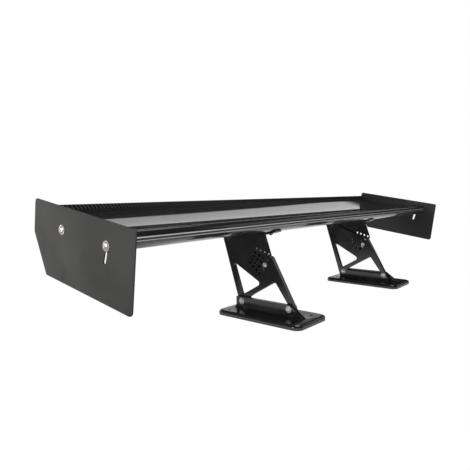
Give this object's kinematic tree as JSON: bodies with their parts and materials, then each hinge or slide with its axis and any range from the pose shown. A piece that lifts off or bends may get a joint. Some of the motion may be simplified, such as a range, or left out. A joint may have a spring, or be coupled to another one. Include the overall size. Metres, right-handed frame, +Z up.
{
  "type": "racing rear wing",
  "caption": "Racing rear wing: carbon airfoil with gurney strip and swivelling side plates, pitch-adjustable on two slotted pedestals with bolt-down bases.",
  "frame": {"origin": "Centre of the bounding box's underside: under the middle of the wing, on the plane that both base plates bolt to", "axes": "+X across the car to the right, as seen with the trailing edge facing away; +Y rearward from leading to trailing edge; +Z up"},
  "size_m": [1.5582, 0.3884, 0.311],
  "materials": {
    "gloss_carbon": "clear-coated twill carbon, high gloss",
    "gurney_carbon": "open twill carbon, semi-gloss",
    "satin_plate": "satin black anodised sheet",
    "black_billet": "gloss black anodised, machined",
    "stainless": "plain rolled and turned stainless steel",
    "black_steel": "black oxide",
    "bare_aluminium": "machined",
    "rivet_aluminium": "plain"
  },
  "bodies": {
    "pedestals": {"left_base": "black_billet", "right_base": "black_billet", "left_upright": "black_billet", "right_upright": "black_billet", "left_foot_bolts": "stainless", "right_foot_bolts": "stainless", "left_foot_nuts": "stainless", "right_foot_nuts": "stainless", "left_foot_washers": "stainless", "right_foot_washers": "stainless", "left_pivot_bolt": "black_steel", "right_pivot_bolt": "black_steel", "left_pivot_nut": "black_steel", "right_pivot_nut": "black_steel", "left_pivot_washers": "black_steel", "right_pivot_washers": "black_steel"},
    "airfoil": {"main_spar": "gurney_carbon", "rear_spar": "gurney_carbon", "left_end_rib": "bare_aluminium", "right_end_rib": "bare_aluminium", "left_mount_rib": "bare_aluminium", "right_mount_rib": "bare_aluminium", "centre_rib": "bare_aluminium", "lower_skin": "gloss_carbon", "upper_skin": "gloss_carbon", "gurney_flap": "gurney_carbon", "gurney_rivets": "rivet_aluminium", "left_plate_pivot_bolt": "stainless", "right_plate_pivot_bolt": "stainless", "left_plate_slot_bolt": "stainless", "right_plate_slot_bolt": "stainless", "left_plate_washers": "stainless", "right_plate_washers": "stainless", "left_bracket": "black_billet", "right_bracket": "black_billet", "left_bracket_screws": "black_steel", "right_bracket_screws": "black_steel", "left_lock_bolt": "stainless", "right_lock_bolt": "stainless", "left_lock_nut": "stainless", "right_lock_nut": "stainless", "left_lock_washers": "stainless", "right_lock_washers": "stainless"},
    "left_plate": {"left_side_plate": "satin_plate"},
    "right_plate": {"right_side_plate": "satin_plate"}
  },
  "joints": [
    {"name": "airfoil_pitch", "type": "hinge", "parent": "pedestals", "child": "airfoil", "pos_m": [0, 0.068, 0.199], "axis": [1, 0, 0], "range_deg": [-8, 8]},
    {"name": "left_plate_tilt", "type": "hinge", "parent": "airfoil", "child": "left_plate", "pos_m": [-0.773, 0.08423, 0.2506], "axis": [-1, 0, 0], "range_deg": [0, 12]},
    {"name": "right_plate_tilt", "type": "hinge", "parent": "airfoil", "child": "right_plate", "pos_m": [0.773, 0.08423, 0.2506], "axis": [-1, 0, 0], "range_deg": [0, 12]}
  ]
}
